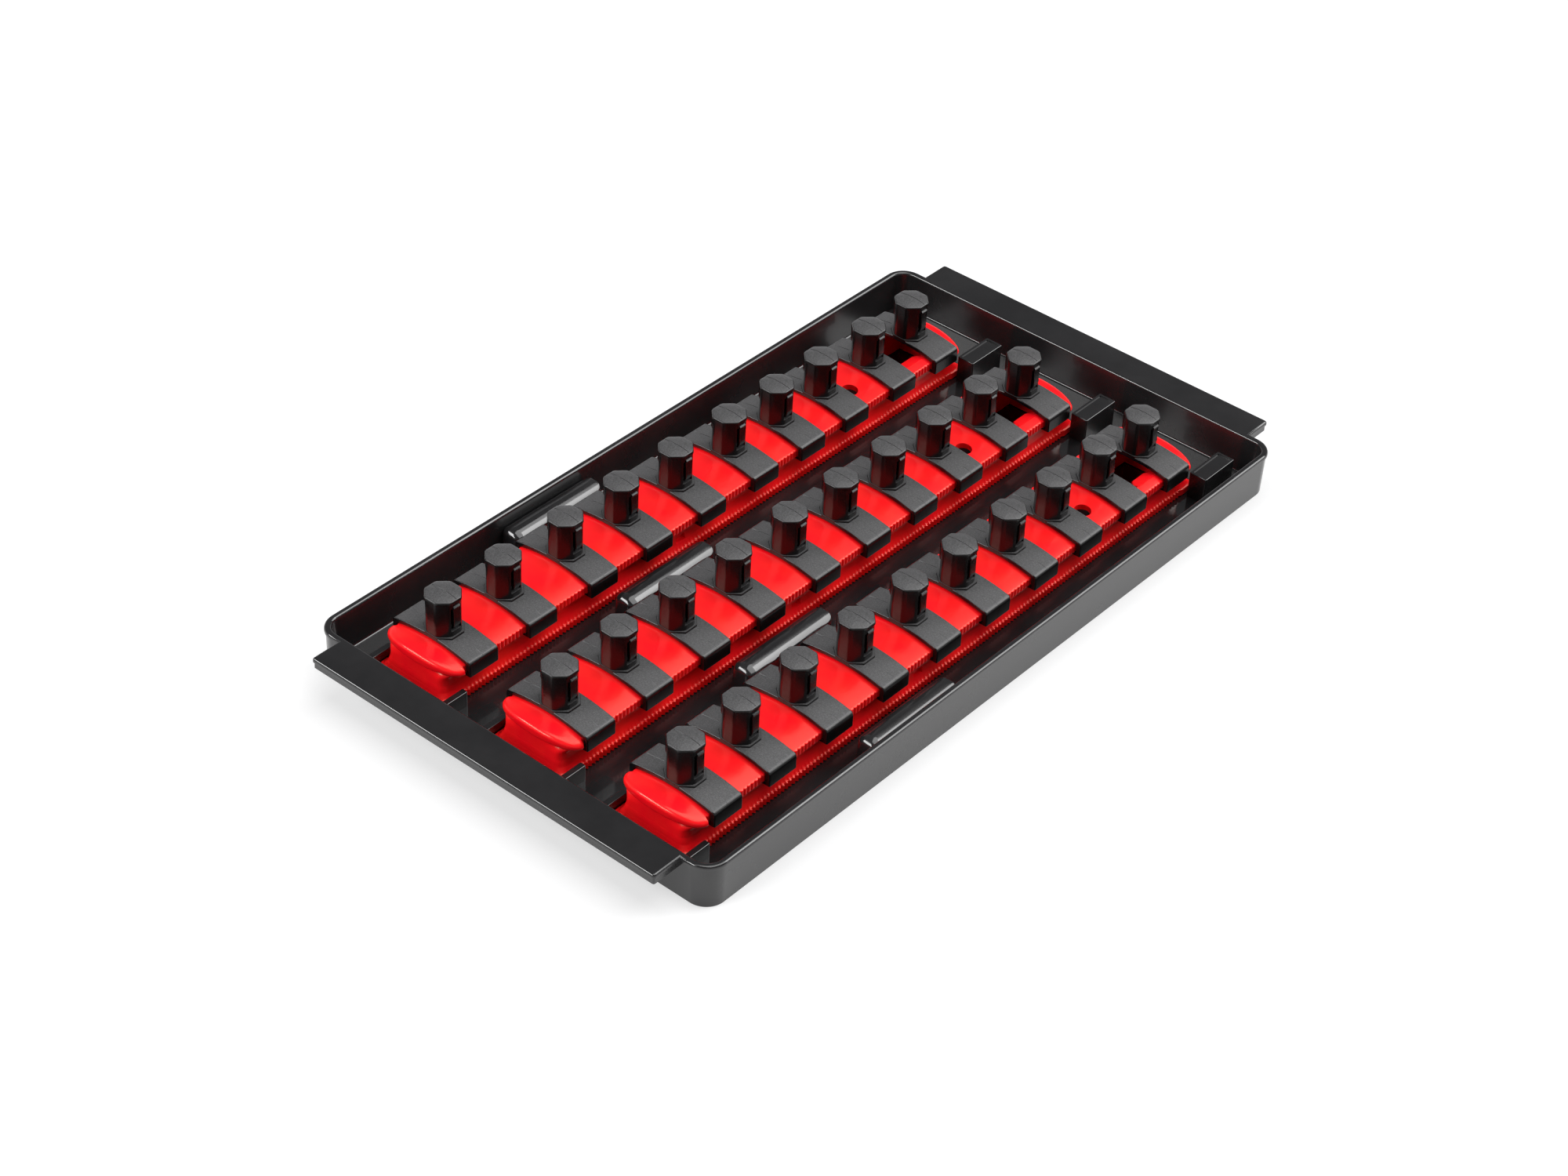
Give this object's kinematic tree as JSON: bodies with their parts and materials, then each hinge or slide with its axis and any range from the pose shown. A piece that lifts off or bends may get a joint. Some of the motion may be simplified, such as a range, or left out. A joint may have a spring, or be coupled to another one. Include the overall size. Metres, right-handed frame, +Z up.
{
  "type": "socket rail",
  "caption": "Shallow tray with end flanges holding arched socket rails, each carrying sliding clips with octagonal drive posts.",
  "frame": {"origin": "centre of the tray's footprint, on the plane that the tray rests on", "axes": "+X across the rails, +Y along the rails from their plain noses towards the label blocks, +Z up along the drive posts"},
  "size_m": [0.177, 0.336, 0.0362],
  "materials": {
    "tray_black": "gloss",
    "rail_red": "satin",
    "clip_black": "satin, fine texture"
  },
  "bodies": {
    "tray": {"tray": "tray_black"},
    "rail_left": {"rail_left": "rail_red"},
    "clip_left_01": {"clip_left_01": "clip_black"},
    "clip_left_02": {"clip_left_02": "clip_black"},
    "clip_left_03": {"clip_left_03": "clip_black"},
    "clip_left_04": {"clip_left_04": "clip_black"},
    "clip_left_05": {"clip_left_05": "clip_black"},
    "clip_left_06": {"clip_left_06": "clip_black"},
    "clip_left_07": {"clip_left_07": "clip_black"},
    "clip_left_08": {"clip_left_08": "clip_black"},
    "clip_left_09": {"clip_left_09": "clip_black"},
    "clip_left_10": {"clip_left_10": "clip_black"},
    "rail_middle": {"rail_middle": "rail_red"},
    "clip_middle_01": {"clip_middle_01": "clip_black"},
    "clip_middle_02": {"clip_middle_02": "clip_black"},
    "clip_middle_03": {"clip_middle_03": "clip_black"},
    "clip_middle_04": {"clip_middle_04": "clip_black"},
    "clip_middle_05": {"clip_middle_05": "clip_black"},
    "clip_middle_06": {"clip_middle_06": "clip_black"},
    "clip_middle_07": {"clip_middle_07": "clip_black"},
    "clip_middle_08": {"clip_middle_08": "clip_black"},
    "clip_middle_09": {"clip_middle_09": "clip_black"},
    "clip_middle_10": {"clip_middle_10": "clip_black"},
    "rail_right": {"rail_right": "rail_red"},
    "clip_right_01": {"clip_right_01": "clip_black"},
    "clip_right_02": {"clip_right_02": "clip_black"},
    "clip_right_03": {"clip_right_03": "clip_black"},
    "clip_right_04": {"clip_right_04": "clip_black"},
    "clip_right_05": {"clip_right_05": "clip_black"},
    "clip_right_06": {"clip_right_06": "clip_black"},
    "clip_right_07": {"clip_right_07": "clip_black"},
    "clip_right_08": {"clip_right_08": "clip_black"},
    "clip_right_09": {"clip_right_09": "clip_black"},
    "clip_right_10": {"clip_right_10": "clip_black"}
  },
  "joints": [
    {"name": "rail_left_lift", "type": "slide", "parent": "tray", "child": "rail_left", "axis": [0, 0, 1], "range_m": [0, 0.03]},
    {"name": "clip_left_01_slide", "type": "slide", "parent": "rail_left", "child": "clip_left_01", "axis": [0, 1, 0], "range_m": [-0.0005, 0.0146]},
    {"name": "clip_left_02_slide", "type": "slide", "parent": "rail_left", "child": "clip_left_02", "axis": [0, 1, 0], "range_m": [-0.0146, 0.0163]},
    {"name": "clip_left_03_slide", "type": "slide", "parent": "rail_left", "child": "clip_left_03", "axis": [0, 1, 0], "range_m": [-0.0163, 0.0144]},
    {"name": "clip_left_04_slide", "type": "slide", "parent": "rail_left", "child": "clip_left_04", "axis": [0, 1, 0], "range_m": [-0.0144, 0.0144]},
    {"name": "clip_left_05_slide", "type": "slide", "parent": "rail_left", "child": "clip_left_05", "axis": [0, 1, 0], "range_m": [-0.0144, 0.0149]},
    {"name": "clip_left_06_slide", "type": "slide", "parent": "rail_left", "child": "clip_left_06", "axis": [0, 1, 0], "range_m": [-0.0149, 0.0123]},
    {"name": "clip_left_07_slide", "type": "slide", "parent": "rail_left", "child": "clip_left_07", "axis": [0, 1, 0], "range_m": [-0.0123, 0.0113]},
    {"name": "clip_left_08_slide", "type": "slide", "parent": "rail_left", "child": "clip_left_08", "axis": [0, 1, 0], "range_m": [-0.0113, 0.0139]},
    {"name": "clip_left_09_slide", "type": "slide", "parent": "rail_left", "child": "clip_left_09", "axis": [0, 1, 0], "range_m": [-0.0139, 0.0116]},
    {"name": "clip_left_10_slide", "type": "slide", "parent": "rail_left", "child": "clip_left_10", "axis": [0, 1, 0], "range_m": [-0.0116, 0.0002]},
    {"name": "rail_middle_lift", "type": "slide", "parent": "tray", "child": "rail_middle", "axis": [0, 0, 1], "range_m": [0, 0.03]},
    {"name": "clip_middle_01_slide", "type": "slide", "parent": "rail_middle", "child": "clip_middle_01", "axis": [0, 1, 0], "range_m": [0, 0.0144]},
    {"name": "clip_middle_02_slide", "type": "slide", "parent": "rail_middle", "child": "clip_middle_02", "axis": [0, 1, 0], "range_m": [-0.0144, 0.0147]},
    {"name": "clip_middle_03_slide", "type": "slide", "parent": "rail_middle", "child": "clip_middle_03", "axis": [0, 1, 0], "range_m": [-0.0147, 0.0146]},
    {"name": "clip_middle_04_slide", "type": "slide", "parent": "rail_middle", "child": "clip_middle_04", "axis": [0, 1, 0], "range_m": [-0.0146, 0.0156]},
    {"name": "clip_middle_05_slide", "type": "slide", "parent": "rail_middle", "child": "clip_middle_05", "axis": [0, 1, 0], "range_m": [-0.0156, 0.0138]},
    {"name": "clip_middle_06_slide", "type": "slide", "parent": "rail_middle", "child": "clip_middle_06", "axis": [0, 1, 0], "range_m": [-0.0138, 0.0127]},
    {"name": "clip_middle_07_slide", "type": "slide", "parent": "rail_middle", "child": "clip_middle_07", "axis": [0, 1, 0], "range_m": [-0.0127, 0.0125]},
    {"name": "clip_middle_08_slide", "type": "slide", "parent": "rail_middle", "child": "clip_middle_08", "axis": [0, 1, 0], "range_m": [-0.0125, 0.0133]},
    {"name": "clip_middle_09_slide", "type": "slide", "parent": "rail_middle", "child": "clip_middle_09", "axis": [0, 1, 0], "range_m": [-0.0133, 0.0122]},
    {"name": "clip_middle_10_slide", "type": "slide", "parent": "rail_middle", "child": "clip_middle_10", "axis": [0, 1, 0], "range_m": [-0.0122, 0.0007]},
    {"name": "rail_right_lift", "type": "slide", "parent": "tray", "child": "rail_right", "axis": [0, 0, 1], "range_m": [0, 0.03]},
    {"name": "clip_right_01_slide", "type": "slide", "parent": "rail_right", "child": "clip_right_01", "axis": [0, 1, 0], "range_m": [-0.001, 0.0127]},
    {"name": "clip_right_02_slide", "type": "slide", "parent": "rail_right", "child": "clip_right_02", "axis": [0, 1, 0], "range_m": [-0.0127, 0.0147]},
    {"name": "clip_right_03_slide", "type": "slide", "parent": "rail_right", "child": "clip_right_03", "axis": [0, 1, 0], "range_m": [-0.0147, 0.0155]},
    {"name": "clip_right_04_slide", "type": "slide", "parent": "rail_right", "child": "clip_right_04", "axis": [0, 1, 0], "range_m": [-0.0155, 0.0145]},
    {"name": "clip_right_05_slide", "type": "slide", "parent": "rail_right", "child": "clip_right_05", "axis": [0, 1, 0], "range_m": [-0.0145, 0.0133]},
    {"name": "clip_right_06_slide", "type": "slide", "parent": "rail_right", "child": "clip_right_06", "axis": [0, 1, 0], "range_m": [-0.0133, 0.0139]},
    {"name": "clip_right_07_slide", "type": "slide", "parent": "rail_right", "child": "clip_right_07", "axis": [0, 1, 0], "range_m": [-0.0139, 0.0123]},
    {"name": "clip_right_08_slide", "type": "slide", "parent": "rail_right", "child": "clip_right_08", "axis": [0, 1, 0], "range_m": [-0.0123, 0.0133]},
    {"name": "clip_right_09_slide", "type": "slide", "parent": "rail_right", "child": "clip_right_09", "axis": [0, 1, 0], "range_m": [-0.0133, 0.0124]},
    {"name": "clip_right_10_slide", "type": "slide", "parent": "rail_right", "child": "clip_right_10", "axis": [0, 1, 0], "range_m": [-0.0124, 0.0008]}
  ]
}
